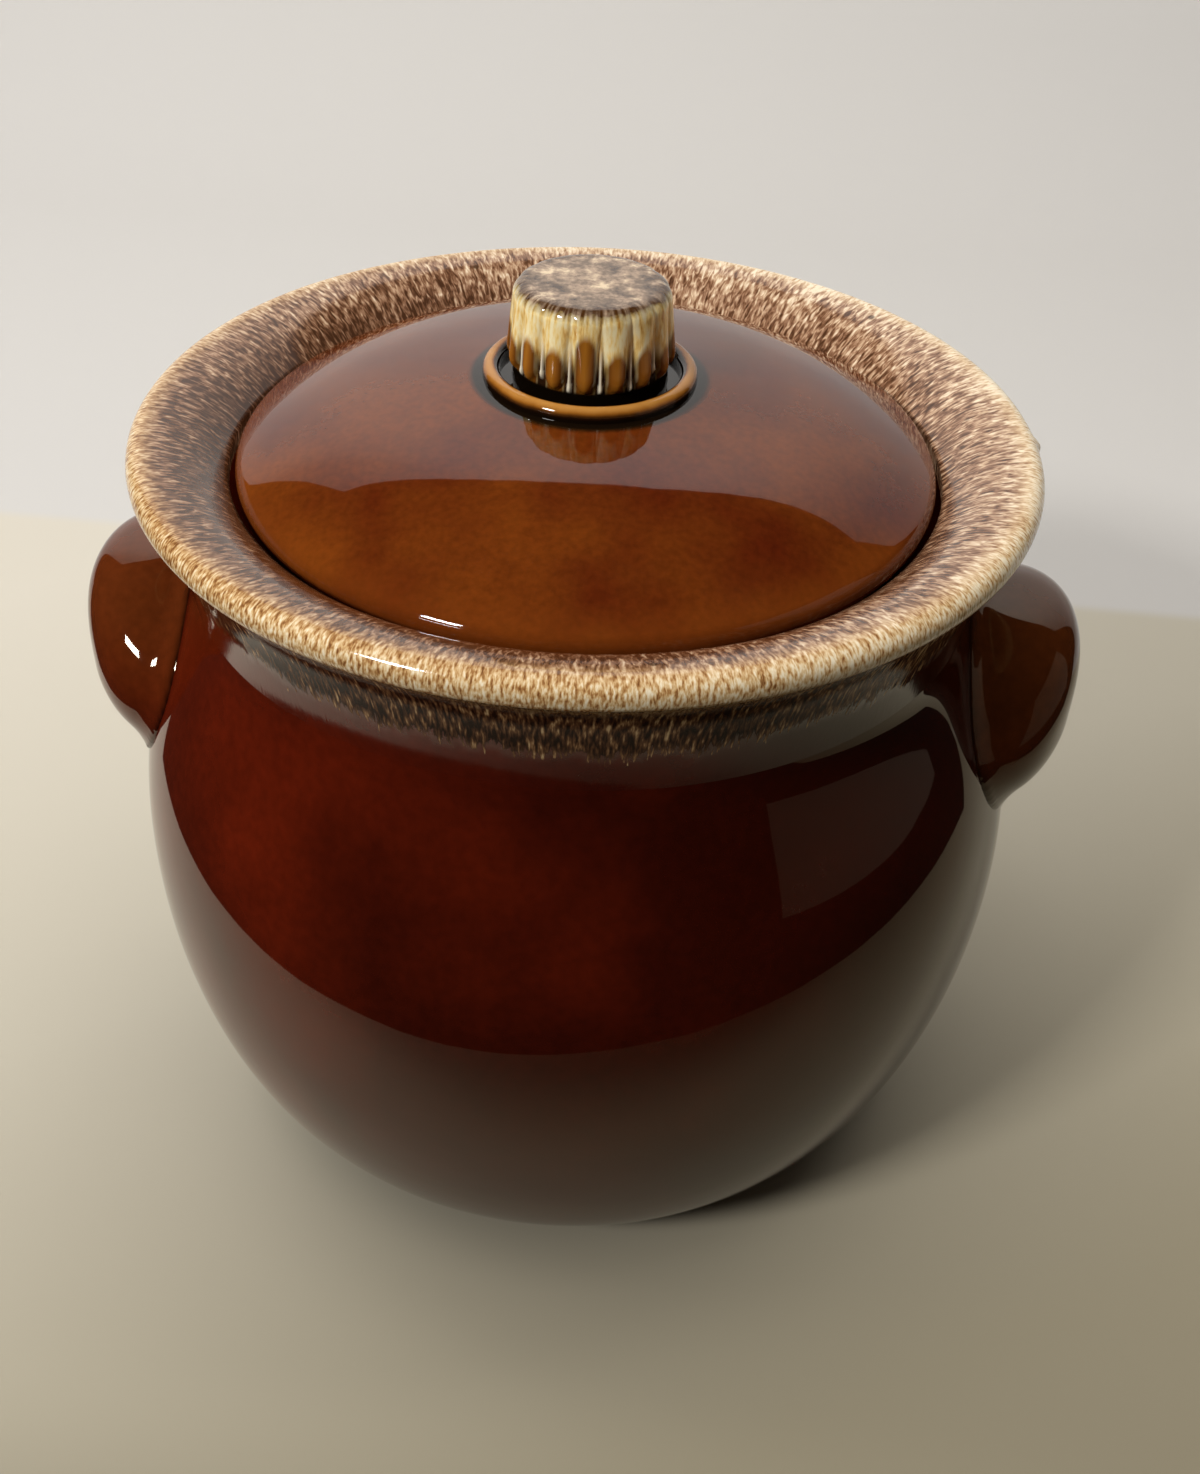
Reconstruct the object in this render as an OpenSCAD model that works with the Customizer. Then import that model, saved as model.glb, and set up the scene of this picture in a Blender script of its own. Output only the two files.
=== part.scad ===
// Stoneware cookie jar: a round-bellied pot with a flared rim, two lug handles
// and a lift-off lid that drops into the rim and carries a ribbed knob.
// Millimetres, +Z up, origin at the centre of the foot, on the table.

/* [Pot] */
// Height from the table to the top of the rim
jar_h = 175; // [155:1:200]
// Diameter of the belly at its widest
belly_d = 198; // [184:1:220]
// Height of the belly's widest point above the table
belly_z = 81; // [68:1:94]
// Thickness of the pot's wall
wall_t = 6; // [4:0.5:9]
// Thickness of the pot's floor
floor_t = 7; // [5:0.5:10]
// Depth of the neck's narrowest point below the top of the rim
neck_drop = 29.5; // [26:0.5:33]

/* [Foot ring] */
// Diameter over the foot ring
foot_d = 122; // [100:1:136]
// Width of the foot ring's flat
foot_w = 7; // [4:0.5:12]
// Height of the foot ring
foot_h = 3; // [2:0.5:6]

/* [Rim] */
// Width of the flared rim, from the lid's seat to the outside of the lip
rim_w = 18.7; // [15:0.1:24]
// Radius of the rounded lip
lip_r = 3.2; // [2.4:0.1:4.5]
// Thickness of clay between the lid's seat and the outside of the neck
neck_t = 9.5; // [7:0.1:12.5]
// Depth of the lid's seat below the top of the rim
seat_drop = 11.5; // [9:0.5:14]
// Width of the ledge that the lid rests on
seat_w = 7; // [5:0.5:10]
// Thickness of the ledge at the mouth
ledge_t = 4.5; // [3:0.5:6]

/* [Lid] */
// Diameter of the lid
lid_d = 142.5; // [130:0.5:156]
// Thickness of the lid at its edge
lid_edge_t = 7; // [5:0.5:8.5]
// Rise of the dome, from the lid's edge to the flat under the knob
lid_rise = 14; // [9:0.5:20]
// Thickness of the dome under the knob
dome_t = 6; // [4:0.5:9]
// Gap between the lid's edge and the wall of its seat
lid_gap = 1.7; // [0.8:0.1:2.5]
// Length that the locating flange hangs below the lid's seat
flange_h = 9; // [5:0.5:14]
// Thickness of the locating flange
flange_t = 4.5; // [3:0.5:7]
// Gap between the locating flange and the mouth
flange_gap = 1.5; // [0.8:0.1:3]

/* [Knob] */
// Height of the knob above the flat on the lid
knob_h = 19.2; // [15:0.2:25]
// Diameter over the ribs at the knob's lower end
knob_d = 34.8; // [29:0.2:38]
// Diameter over the ribs at the knob's top
knob_top_d = 31.8; // [27:0.2:34]
// Number of ribs around the knob
rib_count = 16; // [12:1:20]
// Depth of the grooves between the ribs
rib_depth = 1.4; // [0.8:0.1:2]
// Height of the plain stem under the ribs
stem_h = 3.2; // [1.5:0.1:4]
// Width of the bead that rings the knob
bead_w = 3.4; // [2.4:0.2:5]
// Height of the bead that rings the knob
bead_h = 2.6; // [1.8:0.1:5]
// Gap between the knob's ribs and the bead
bead_gap = 0.6; // [0.4:0.1:1.5]

/* [Handles] */
// Distance that a handle stands out from the pot's wall
handle_reach = 15.8; // [11:0.2:22]
// Width of a handle where it joins the pot
handle_w = 60; // [44:1:72]
// Depth of the handle's top below the top of the rim
handle_top_drop = 35; // [33.5:0.5:44]
// Height of a handle where it joins the pot
handle_h = 42; // [34:0.5:54]
// Depth of the handle's furthest point below its own top
handle_nose_drop = 26; // [18:0.5:30]

/* [Hidden] */
$fn = 96;
// Steps along each curve of an outline
curve_steps = 20;
// Share of the height from belly to neck over which each end of the shoulder's curve runs upright
shoulder_full = 0.6;
shoulder_tuck = 0.22;
// Roundness of a handle's upper and lower outline: 2 is an ellipse, more is squarer
handle_top_round = 4.2;
handle_foot_round = 2.3;

// Angles at which the lip's round begins under the rim and ends on top of it
lip_under = -55;
lip_over = 100;
// Shares of the way over which the neck's cove and the rim's flare run straight out of their ends
cove_full = 0.3;
flare_full = 0.45;
// Slope of the flare where it reaches the lid's seat
flare_foot = 45;
// Angle on the lid's round edge where the dome begins, the dome's slope at the knob, and its fullness
brow_at = 60;
crown_fall = 9;
dome_full = 0.44;
// Set-in of the knob's stem under the grooves, and radii at the lower and upper end of the ribs
stem_in = 0.8;
rib_foot = 2.6;
crown_r = 1.8;

foot_r = foot_d / 2;
belly_r = belly_d / 2;
lid_r = lid_d / 2;
seat_r = lid_r + lid_gap;
mouth_r = seat_r - seat_w;
neck_r = seat_r + neck_t;
rim_r = seat_r + rim_w;
neck_z = jar_h - neck_drop;
seat_z = jar_h - seat_drop;
floor_z = foot_h + floor_t;
flange_r = mouth_r - flange_gap;
knob_r = knob_d / 2;
bead_r = knob_r + bead_gap + bead_w;
knob_z = seat_z + lid_edge_t + lid_rise;

// A cubic curve from a to d that leaves towards b and arrives from c
function curve(a, b, c, d, n = curve_steps) = [for (i = [0:n]) let (t = i / n, s = 1 - t)
    s * s * s * a + 3 * s * s * t * b + 3 * s * t * t * c + t * t * t * d];

// An elliptical arc about a centre; round is 2 for an ellipse
function arc(centre, rx, rz, from, to, round = 2, n = curve_steps) = [for (i = [0:n])
    let (a = from + (to - from) * i / n, x = cos(a), z = sin(a))
    centre + [rx * sign(x) * pow(abs(x), 2 / round), rz * sign(z) * pow(abs(z), 2 / round)]];

// The same points without the first, so that joined curves share no point twice
function after_first(points) = [for (i = [1:len(points) - 1]) points[i]];

// The same points the other way round
function reversed(points) = [for (i = [len(points) - 1:-1:0]) points[i]];

// Side of the pot from its foot to its neck, taken in by inset, with its lower end at low_z
function pot_side(inset, low_z) =
    let (r = belly_r - inset, top_r = neck_r - inset, rise = neck_z - belly_z)
    concat(
        arc([foot_r, belly_z], r - foot_r, belly_z - low_z, -90, 0),
        after_first(curve([r, belly_z], [r, belly_z + shoulder_full * rise],
            [top_r, neck_z - shoulder_tuck * rise], [top_r, neck_z])));

// Outside radius of the pot at a height
function pot_r(z) = lookup(z, [for (p = pot_side(0, foot_h)) [p[1], p[0]]]);

// The pot filled solid, which the handles are cut to fit
module pot_core() {
    rotate_extrude() polygon(concat([[0, foot_h]], pot_side(0, foot_h), [[0, neck_z]]));
}

// Thrown pot with its floor, up to the narrowest point of the neck
module pot() {
    color("#4a1a0c") rotate_extrude() polygon(concat(
        [[0, foot_h]],
        pot_side(0, foot_h),
        reversed(pot_side(wall_t, floor_z)),
        [[0, floor_z]]));
}

// Flared rim joined on at the neck, with the ledge inside it that the lid rests on
module rim_collar() {
    lip = [rim_r - lip_r, jar_h - lip_r];
    lip_start = lip + lip_r * [cos(lip_under), sin(lip_under)];
    lip_end = lip + lip_r * [cos(lip_over), sin(lip_over)];
    wall_top = [seat_r, seat_z + lid_edge_t / 2];
    cove = cove_full * (lip_start[1] - neck_z);
    flare = flare_full * (lip_end[0] - seat_r);
    color("#c9a36c") rotate_extrude() polygon(concat(
        [[neck_r - wall_t, neck_z]],
        curve([neck_r, neck_z], [neck_r, neck_z + cove],
            lip_start + cove * [sin(lip_under), -cos(lip_under)], lip_start),
        after_first(arc(lip, lip_r, lip_r, lip_under, lip_over)),
        after_first(curve(lip_end, lip_end + flare * [-sin(lip_over), cos(lip_over)],
            wall_top + flare * [cos(flare_foot), sin(flare_foot)], wall_top)),
        [[seat_r, seat_z], [mouth_r, seat_z], [mouth_r, seat_z - ledge_t]]));
}

// Bare ring under the floor that the jar stands on
module foot_ring() {
    color("#cdb598") difference() {
        cylinder(h = foot_h, r = foot_r);
        translate([0, 0, -1]) cylinder(h = foot_h + 2, r = foot_r - foot_w);
    }
}

// Lug handle on the +X side: a bulging lobe turned about its own upright axis
module lug() {
    top_z = jar_h - handle_top_drop;
    low_z = top_z - handle_h;
    nose_z = top_z - handle_nose_drop;
    side_r = pot_r(nose_z);
    nose_r = side_r + handle_reach;
    root_x = sqrt(side_r * side_r - handle_w * handle_w / 4);
    axis_x = (nose_r * nose_r - side_r * side_r) / (2 * (nose_r - root_x));
    top_r = pot_r(top_z) - axis_x;
    low_r = pot_r(low_z) - axis_x;
    far_r = nose_r - axis_x;
    outline = concat(
        arc([low_r, nose_z], far_r - low_r, nose_z - low_z, -90, 0, handle_foot_round),
        after_first(arc([top_r, nose_z], far_r - top_r, top_z - nose_z, 0, 90, handle_top_round)));
    difference() {
        translate([axis_x, 0, 0]) rotate_extrude() polygon(concat(
            [[0, low_z]],
            [for (p = outline) if (p[0] > 0) p],
            [[0, top_z]]));
        pot_core();
    }
}

module right_handle() {
    color("#53200f") lug();
}

module left_handle() {
    color("#53200f") rotate([0, 0, 180]) lug();
}

// Low dome of the lid, hollow beneath, with a rounded edge and a flat for the knob
module lid_dome() {
    edge_r = lid_edge_t / 2;
    edge = [lid_r - edge_r, seat_z + edge_r];
    brow = edge + edge_r * [cos(brow_at), sin(brow_at)];
    pull = dome_full * (brow[0] - bead_r);
    color("#7a3310") rotate_extrude() polygon(concat(
        arc(edge, edge_r, edge_r, -90, brow_at),
        after_first(curve(brow, brow + pull * [-sin(brow_at), cos(brow_at)],
            [bead_r, knob_z] + pull * [cos(crown_fall), -sin(crown_fall)], [bead_r, knob_z])),
        [[0, knob_z]],
        arc([0, seat_z], flange_r - flange_t, knob_z - dome_t - seat_z, 90, 0)));
}

// Ring under the lid that hangs in the mouth and keeps the lid in the middle
module lid_flange() {
    color("#6a2a10") translate([0, 0, seat_z - flange_h]) difference() {
        cylinder(h = flange_h, r = flange_r);
        translate([0, 0, -1]) cylinder(h = flange_h + 2, r = flange_r - flange_t);
    }
}

// Half-round bead on the lid, around the foot of the knob
module knob_bead() {
    half_w = bead_w / 2;
    color("#8a3f14") translate([0, 0, knob_z]) rotate_extrude() polygon(concat(
        [[bead_r - bead_w, 0], [bead_r, 0]],
        arc([bead_r - half_w, bead_h - half_w], half_w, half_w, 0, 180)));
}

// Ribbed knob: narrower at the top, with rounded ends, on a plain stem
module knob() {
    step = 360 / rib_count;
    groove_r = knob_r - rib_depth;
    across = groove_r * cos(step / 2);
    rib_r = (groove_r * groove_r + knob_r * knob_r - 2 * knob_r * across) / (2 * (knob_r - across));
    taper = knob_top_d / knob_d;
    lean = atan((knob_r - rib_r) * (1 - taper) / knob_h);
    stem_r = groove_r - stem_in;
    color("#cfa263") translate([0, 0, knob_z]) intersection() {
        union() {
            cylinder(h = knob_h, r1 = groove_r * 0.98, r2 = groove_r * 0.98 * taper);
            for (i = [0:rib_count - 1]) rotate([0, 0, i * step]) translate([knob_r - rib_r, 0, 0])
                rotate([0, -lean, 0]) translate([0, 0, -1])
                cylinder(h = knob_h + 2, r1 = rib_r, r2 = rib_r * taper);
        }
        rotate_extrude() polygon(concat(
            [[0, 0], [stem_r, 0]],
            arc([stem_r, stem_h + rib_foot], knob_r + rib_depth / 2 - stem_r, rib_foot, -90, 0, 2, 8),
            arc([knob_top_d / 2 + rib_depth / 2 - crown_r, knob_h - crown_r], crown_r, crown_r, 0, 90, 2, 8),
            [[0, knob_h]]));
    }
}

pot();
rim_collar();
foot_ring();
left_handle();
right_handle();
lid_dome();
lid_flange();
knob_bead();
knob();
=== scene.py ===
# %% [markdown]
# # A glazed stoneware cookie jar
# The jar is a round-bellied pot with a flared rim, two lug handles and a loose lid with a ribbed knob.
# It was thrown in stoneware, dipped in a dark red-brown glaze, and a pale glaze was run over its rim and
# knob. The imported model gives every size. This lesson turns, shapes and glazes one visible piece for each
# part of it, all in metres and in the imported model's own frame.

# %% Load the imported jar
import math

import bpy
import numpy as np
from mathutils import Matrix, Vector, noise


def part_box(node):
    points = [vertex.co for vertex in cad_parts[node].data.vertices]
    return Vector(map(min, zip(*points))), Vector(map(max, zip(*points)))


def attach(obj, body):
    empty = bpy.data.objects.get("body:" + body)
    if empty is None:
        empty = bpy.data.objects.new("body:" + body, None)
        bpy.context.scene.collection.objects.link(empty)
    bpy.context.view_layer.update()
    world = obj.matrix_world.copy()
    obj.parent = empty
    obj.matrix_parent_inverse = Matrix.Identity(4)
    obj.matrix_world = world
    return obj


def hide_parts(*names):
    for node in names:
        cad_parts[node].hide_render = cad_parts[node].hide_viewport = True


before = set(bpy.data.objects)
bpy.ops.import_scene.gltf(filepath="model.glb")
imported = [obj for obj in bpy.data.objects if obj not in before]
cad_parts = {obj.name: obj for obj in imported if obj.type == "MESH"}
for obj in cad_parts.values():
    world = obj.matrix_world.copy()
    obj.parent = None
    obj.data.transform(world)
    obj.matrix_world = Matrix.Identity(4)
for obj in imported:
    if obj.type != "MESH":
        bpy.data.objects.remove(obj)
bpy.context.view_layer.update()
MM = 0.001
print("Packed nodes:", ", ".join(sorted(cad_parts)))

# %% [markdown]
# ## Helpers for working on one piece at a time
# An operator acts on everything that is selected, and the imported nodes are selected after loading. So each
# step first selects its own piece alone. Modifiers are applied at once, so that the mesh is the final one.

# %% Select one piece, apply a modifier, smooth a piece
MERGE = 0.002 * MM


def only(piece):
    """Select one piece alone and make it the active one."""
    bpy.ops.object.select_all(action="DESELECT")
    piece.select_set(True)
    bpy.context.view_layer.objects.active = piece


def apply_modifier(piece, kind, **settings):
    """Add a modifier to a piece and apply it."""
    only(piece)
    modifier = piece.modifiers.new(kind, kind)
    for name, value in settings.items():
        setattr(modifier, name, value)
    bpy.ops.object.modifier_apply(modifier=modifier.name)


def subdivide(piece):
    """Round a piece by one subdivision."""
    apply_modifier(piece, "SUBSURF", levels=1, render_levels=1, use_limit_surface=False)


def pick(piece, test):
    """Go into edit mode on a piece with just the points selected that pass a test."""
    only(piece)
    bpy.ops.object.mode_set(mode="EDIT")
    bpy.ops.mesh.select_all(action="DESELECT")
    bpy.ops.object.mode_set(mode="OBJECT")
    for point in piece.data.vertices:
        point.select = bool(test(point))
    bpy.ops.object.mode_set(mode="EDIT")


def points_of(piece):
    """All points of a piece as rows of x, y, z."""
    flat = np.empty(len(piece.data.vertices) * 3)
    piece.data.vertices.foreach_get("co", flat)
    return flat.reshape(-1, 3)


def move_points(piece, rows):
    """Put the points of a piece where the rows say."""
    piece.data.vertices.foreach_set("co", np.ascontiguousarray(rows, float).ravel())
    piece.data.update()


def keep_value(piece, name, values):
    """Store one number on every point, for a finish that follows the surface."""
    layer = piece.data.attributes.new(name, "FLOAT", "POINT")
    layer.data.foreach_set("value", np.ascontiguousarray(values, np.float32))


def smooth(piece, angle=40):
    """Shade a piece smooth, apart from edges sharper than the angle."""
    only(piece)
    bpy.ops.object.shade_smooth_by_angle(angle=math.radians(angle))


# %% [markdown]
# ## Turning on the wheel
# Most of the jar was thrown on a wheel, so it is a body of revolution. The outline of each turned part is
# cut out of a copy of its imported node: two bisects leave only the half outline, and a screw turns it. This
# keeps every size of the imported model, with far finer steps than its own mesh has.

# %% Cut an outline, read it in order, turn it
def half_outline(packed, name):
    """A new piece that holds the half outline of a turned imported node, in the plane y = 0."""
    piece = bpy.data.objects.new(name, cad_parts[packed].data.copy())
    bpy.context.scene.collection.objects.link(piece)
    piece.data.materials.clear()
    only(piece)
    bpy.ops.object.mode_set(mode="EDIT")
    bpy.ops.mesh.select_all(action="SELECT")
    bpy.ops.mesh.remove_doubles(threshold=MERGE)
    bpy.ops.mesh.bisect(plane_co=(0, 0, 0), plane_no=(0, 1, 0), clear_inner=True, clear_outer=True)
    bpy.ops.mesh.select_all(action="SELECT")
    bpy.ops.mesh.bisect(plane_co=(0, 0, 0), plane_no=(1, 0, 0), clear_inner=True)
    bpy.ops.object.mode_set(mode="OBJECT")
    return piece


def in_order(outline, start, towards):
    """Points of an outline, walked from the one nearest start on towards a second place."""
    places = [v.co for v in outline.data.vertices]
    joined = {i: [] for i in range(len(places))}
    for edge in outline.data.edges:
        a, b = edge.vertices
        joined[a].append(b)
        joined[b].append(a)
    first = min(joined, key=lambda i: (places[i] - Vector(start)).length)
    walk = [first, min(joined[first], key=lambda i: (places[i] - Vector(towards)).length)]
    while True:
        onward = [i for i in joined[walk[-1]] if i not in walk]
        if not onward:
            return np.array([places[i][:] for i in walk])
        walk.append(onward[0])


def close_seams(threshold=MERGE):
    """Merge the points that meet in edit mode, turn all faces outwards and leave edit mode."""
    bpy.ops.mesh.select_all(action="SELECT")
    bpy.ops.mesh.remove_doubles(threshold=threshold)
    bpy.ops.mesh.normals_make_consistent(inside=False)
    bpy.ops.object.mode_set(mode="OBJECT")


def turn(piece, steps):
    """Turn an outline once round the jar's axis and close the seam."""
    apply_modifier(piece, "SCREW", angle=math.tau, steps=steps, render_steps=steps)
    bpy.ops.object.mode_set(mode="EDIT")
    close_seams()


def crease_sharp(piece, angle=40):
    """Keep the sharp edges of a piece sharp when it is subdivided."""
    only(piece)
    bpy.ops.object.mode_set(mode="EDIT")
    bpy.ops.mesh.select_mode(type="EDGE")
    bpy.ops.mesh.select_all(action="DESELECT")
    bpy.ops.mesh.edges_select_sharp(sharpness=math.radians(angle))
    bpy.ops.transform.edge_crease(value=1)
    bpy.ops.mesh.select_mode(type="VERT")
    bpy.ops.object.mode_set(mode="OBJECT")


# %% [markdown]
# ## The unevenness of clay
# Clay sags a little as it dries and fires, and a glossy glaze shows it: straight reflections turn wavy. One
# function of place gives how far the wall stands in or out, so the pot, its rim and its handles all follow
# it together and no gap opens between them.

# %% Sag of the fired clay
SAG = 0.22 * MM
SAG_ACROSS = 60 * MM
RIPPLE = 0.05 * MM
RIPPLE_ACROSS = 18 * MM
SINK = 0.8


def sag(place):
    """How far the clay stands out at a place, in metres. It hardly ever stands out, and mostly sinks in."""
    slow = noise.noise(Vector(place) / SAG_ACROSS)
    quick = noise.noise(Vector(place) / RIPPLE_ACROSS)
    return SAG * (slow - SINK) + RIPPLE * (quick - SINK)


def let_sag(piece):
    """Move the points of a piece of the jar in or out with the sag of the clay."""
    rows = points_of(piece)
    radius = np.maximum(np.hypot(rows[:, 0], rows[:, 1]), MM)
    out = np.array([sag(row) for row in rows])
    rows[:, :2] *= (1 + out / radius)[:, None]
    move_points(piece, rows)


# %% [markdown]
# ## Pot
# The pot is the thrown wall with its floor, up to the narrowest point of the neck. Its outline is turned in
# coarse steps, its sharp rims are creased, and one subdivision makes wall and belly smooth enough for a
# mirror-like glaze.

# %% Throw the pot
POT_STEPS = 144
pot = half_outline("pot", "glazed_pot")
pot_low, pot_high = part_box("pot")
wall = in_order(pot, (0, 0, pot_low.z), (pot_high.x, 0, pot_low.z))
neck_row = int(np.argmax(wall[:, 2]))
side = wall[1:neck_row + 1]
neck_r, neck_z = side[-1, 0], side[-1, 2]
turn(pot, POT_STEPS)
crease_sharp(pot)
subdivide(pot)
let_sag(pot)
smooth(pot)
print("Pot:", len(pot.data.polygons), "faces, neck radius", round(neck_r / MM, 1), "mm")

# %% [markdown]
# ## Lug handles
# Each handle is a ball of clay that was pressed on to the wall, flattened on top and pinched narrower
# towards its upper end, then smoothed in with a wet finger. So it starts as a ball here too. Every point of
# the ball keeps its direction, and a rounded square outline says how far out it goes: fuller seen from the
# front, leaner seen from the side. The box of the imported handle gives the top, and a few millimetres are
# added at the foot and the sides and taken off the nose, as pressed clay moves.

# %% Press a ball into a lug
LUG_AROUND, LUG_UP = 128, 96
LUG_X = 84.3 * MM
NOSE_UP = 0.52
NOSE_IN = 1.2 * MM
LUG_WIDER = 2.4 * MM
LUG_LOWER = 3 * MM
PLAN_ROUND = 2.2
TOP_ROUND_FRONT, TOP_ROUND_SIDE = 5.0, 1.7
FOOT_ROUND_FRONT, FOOT_ROUND_SIDE = 1.7, 2.4
lug_low, lug_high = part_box("right_handle")
lug_deep = lug_high.x - NOSE_IN - LUG_X
lug_wide = lug_high.y + LUG_WIDER
lug_top, lug_foot = lug_high.z, lug_low.z - LUG_LOWER
nose_z = lug_foot + NOSE_UP * (lug_top - lug_foot)


def rounded(along, up, fullness):
    """How far a rounded outline reaches in a direction: fullness 2 is a circle, more is squarer."""
    return (np.abs(along) ** fullness + np.abs(up) ** fullness) ** (-1 / fullness)


bpy.ops.object.select_all(action="DESELECT")
bpy.ops.mesh.primitive_uv_sphere_add(segments=LUG_AROUND, ring_count=LUG_UP, radius=1)
lug = bpy.context.object
lug.name = "right_lug"
ball = points_of(lug)
turned = np.arctan2(ball[:, 1], ball[:, 0])
level = np.hypot(ball[:, 0], ball[:, 1])
side_on = np.sin(turned) ** 2
above = ball[:, 2] > 0
front_round = np.where(above, TOP_ROUND_FRONT, FOOT_ROUND_FRONT)
side_round = np.where(above, TOP_ROUND_SIDE, FOOT_ROUND_SIDE)
grow = rounded(level, ball[:, 2], front_round + (side_round - front_round) * side_on)
reach = level * grow * rounded(np.cos(turned) / lug_deep, np.sin(turned) / lug_wide, PLAN_ROUND)
tall = np.where(above, lug_top - nose_z, nose_z - lug_foot)
move_points(lug, np.column_stack([LUG_X + reach * np.cos(turned), reach * np.sin(turned),
                                  nose_z + ball[:, 2] * grow * tall]))
subdivide(lug)
print("Lug:", len(lug.data.polygons), "faces, from", round(lug_foot / MM, 1), "to",
      round(lug_top / MM, 1), "mm")

# %% [markdown]
# ## Joining the lugs to the wall
# A wet finger drawn round the joint leaves a narrow hollow. Points of the lug that lie close to the wall
# are pushed outwards along it, on the arc of that finger tip. What lies deep in the wall is cut away. The
# depth of the joint is kept on the points, because glaze pools there and turns darker. So is the height up
# the lug, because the glaze drained from its top and is thinner there.

# %% Blend a lug into the wall and copy it to the other side
FINGER_R = 4.2 * MM
LEAST = 0.45 * MM
INSIDE = 2.0 * MM
POOL_H = 1.6 * MM
SLOPE_STEP = 0.5 * MM
LEAST_ALONG = 0.35


def wall_r(z):
    """Outside radius of the pot at a height."""
    return np.interp(z, side[:, 2], side[:, 0])


def blend_into_wall(piece):
    """Push the points of a lug near the wall outwards along the wall, and give their height over it."""
    rows = points_of(piece)
    normals = np.array([v.normal[:] for v in piece.data.vertices])
    radius = np.hypot(rows[:, 0], rows[:, 1])
    rise = wall_r(rows[:, 2] + SLOPE_STEP) - wall_r(rows[:, 2] - SLOPE_STEP)
    slope = rise / (2 * SLOPE_STEP)
    out = np.column_stack([rows[:, 0] / radius, rows[:, 1] / radius, -slope])
    out /= np.linalg.norm(out, axis=1)[:, None]
    height = (radius - wall_r(rows[:, 2])) / np.sqrt(1 + slope ** 2)
    along = normals - (normals * out).sum(1)[:, None] * out
    along /= np.maximum(np.linalg.norm(along, axis=1), LEAST_ALONG)[:, None]
    left_over = FINGER_R - np.clip(height, LEAST, FINGER_R)
    push = FINGER_R - np.sqrt(FINGER_R ** 2 - left_over ** 2)
    move_points(piece, rows + along * push[:, None])
    return height


heights = blend_into_wall(lug)
keep_value(lug, "pool", np.clip(1 - heights / POOL_H, 0, 1) ** 2)
upness = (points_of(lug)[:, 2] - lug_foot) / (lug_top - lug_foot)
keep_value(lug, "thin", np.clip(upness, 0, 1))
pick(lug, lambda point: heights[point.index] < -INSIDE)
bpy.ops.mesh.delete(type="VERT")
bpy.ops.object.mode_set(mode="OBJECT")
left_lug = bpy.data.objects.new("left_lug", lug.data.copy())
bpy.context.scene.collection.objects.link(left_lug)
left_lug.data.transform(Matrix.Rotation(math.pi, 4, "Z"))
for handle in (lug, left_lug):
    let_sag(handle)
    smooth(handle, angle=60)
print("Lugs:", len(lug.data.polygons), "faces each after the cut")

# %% [markdown]
# ## Rim
# The rim flares out from the neck and holds a ledge for the lid. It is turned in many fine steps, because
# the glaze on it is modelled as relief. The glaze ran along the outline, so the distance from the neck
# along that line is measured before the rim is turned. The glaze's edge and its pattern both follow it.

# %% Turn the rim
RIM_STEPS = 1200
SEAT_CLEAR = 3 * MM
rim = half_outline("rim_collar", "glazed_rim")
dome_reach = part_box("lid_dome")[1].x
rim_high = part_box("rim_collar")[1]
rim_line = in_order(rim, (neck_r, 0, neck_z), (neck_r, 0, rim_high.z))
rim_run = np.concatenate([[0], np.cumsum(np.linalg.norm(np.diff(rim_line, axis=0), axis=1))])
lip_run = rim_run[np.argmax(rim_line[:, 0])]
seat_row = np.flatnonzero((rim_line[:, 0] < dome_reach + SEAT_CLEAR) & (rim_run > lip_run))[0]
seat_run = rim_run[seat_row]
turn(rim, RIM_STEPS)
print("Rim: outline", round(rim_run.max() / MM, 1), "mm long, lip at", round(lip_run / MM, 1),
      "mm, seat at", round(seat_run / MM, 1), "mm")

# %% [markdown]
# ## Where the pale glaze ends
# The pale glaze was poured over the rim and ran down outside in thin threads before it froze. Each thread
# has a place, a width and a length drawn from a seeded generator, and hangs from an edge that wanders
# slowly up and down round the jar.

# %% Edge and threads of the pale glaze
RUN_EDGE = 9.2 * MM
EDGE_WAVE, EDGE_WAVES = 1.0 * MM, 3
LOBES = 90
draw = np.random.default_rng(7)
lobe_at = draw.uniform(-math.pi, math.pi, LOBES)
lobe_w = draw.uniform(1.2, 3.2, LOBES) * MM
lobe_l = draw.uniform(0.3, 1.8, LOBES) * MM


def run_of(rows):
    """Distance along the rim's outline from the neck, for each point of the turned rim."""
    here = np.column_stack([np.hypot(rows[:, 0], rows[:, 1]), rows[:, 2]])
    gap = np.linalg.norm(here[:, None] - rim_line[None, :, [0, 2]], axis=2)
    return rim_run[gap.argmin(1)]


def run_edge(angle):
    """Lowest reach of the pale glaze at each angle, as a distance from the neck."""
    round_it = np.column_stack([np.cos(angle), np.sin(angle), 0 * angle])
    edge = RUN_EDGE + EDGE_WAVE * np.array([noise.noise(Vector(EDGE_WAVES * row)) for row in round_it])
    low = edge.copy()
    for at, width, length in zip(lobe_at, lobe_w, lobe_l):
        off = np.abs((angle - at + math.pi) % math.tau - math.pi) * neck_r / width
        low = np.minimum(low, edge - length * np.clip(1 - off ** 2, 0, 1))
    return low


print("Threads:", LOBES, "up to", round(lobe_l.max() / MM, 1), "mm long")

# %% [markdown]
# ## Relief of the pale glaze
# The glaze is real relief: the rim stands out by its thickness wherever it lies, and one thick drop stayed
# on the lip at the right. How far each point lies along the outline, and how far past the glaze's edge, is
# kept on the points for the finish.

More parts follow.
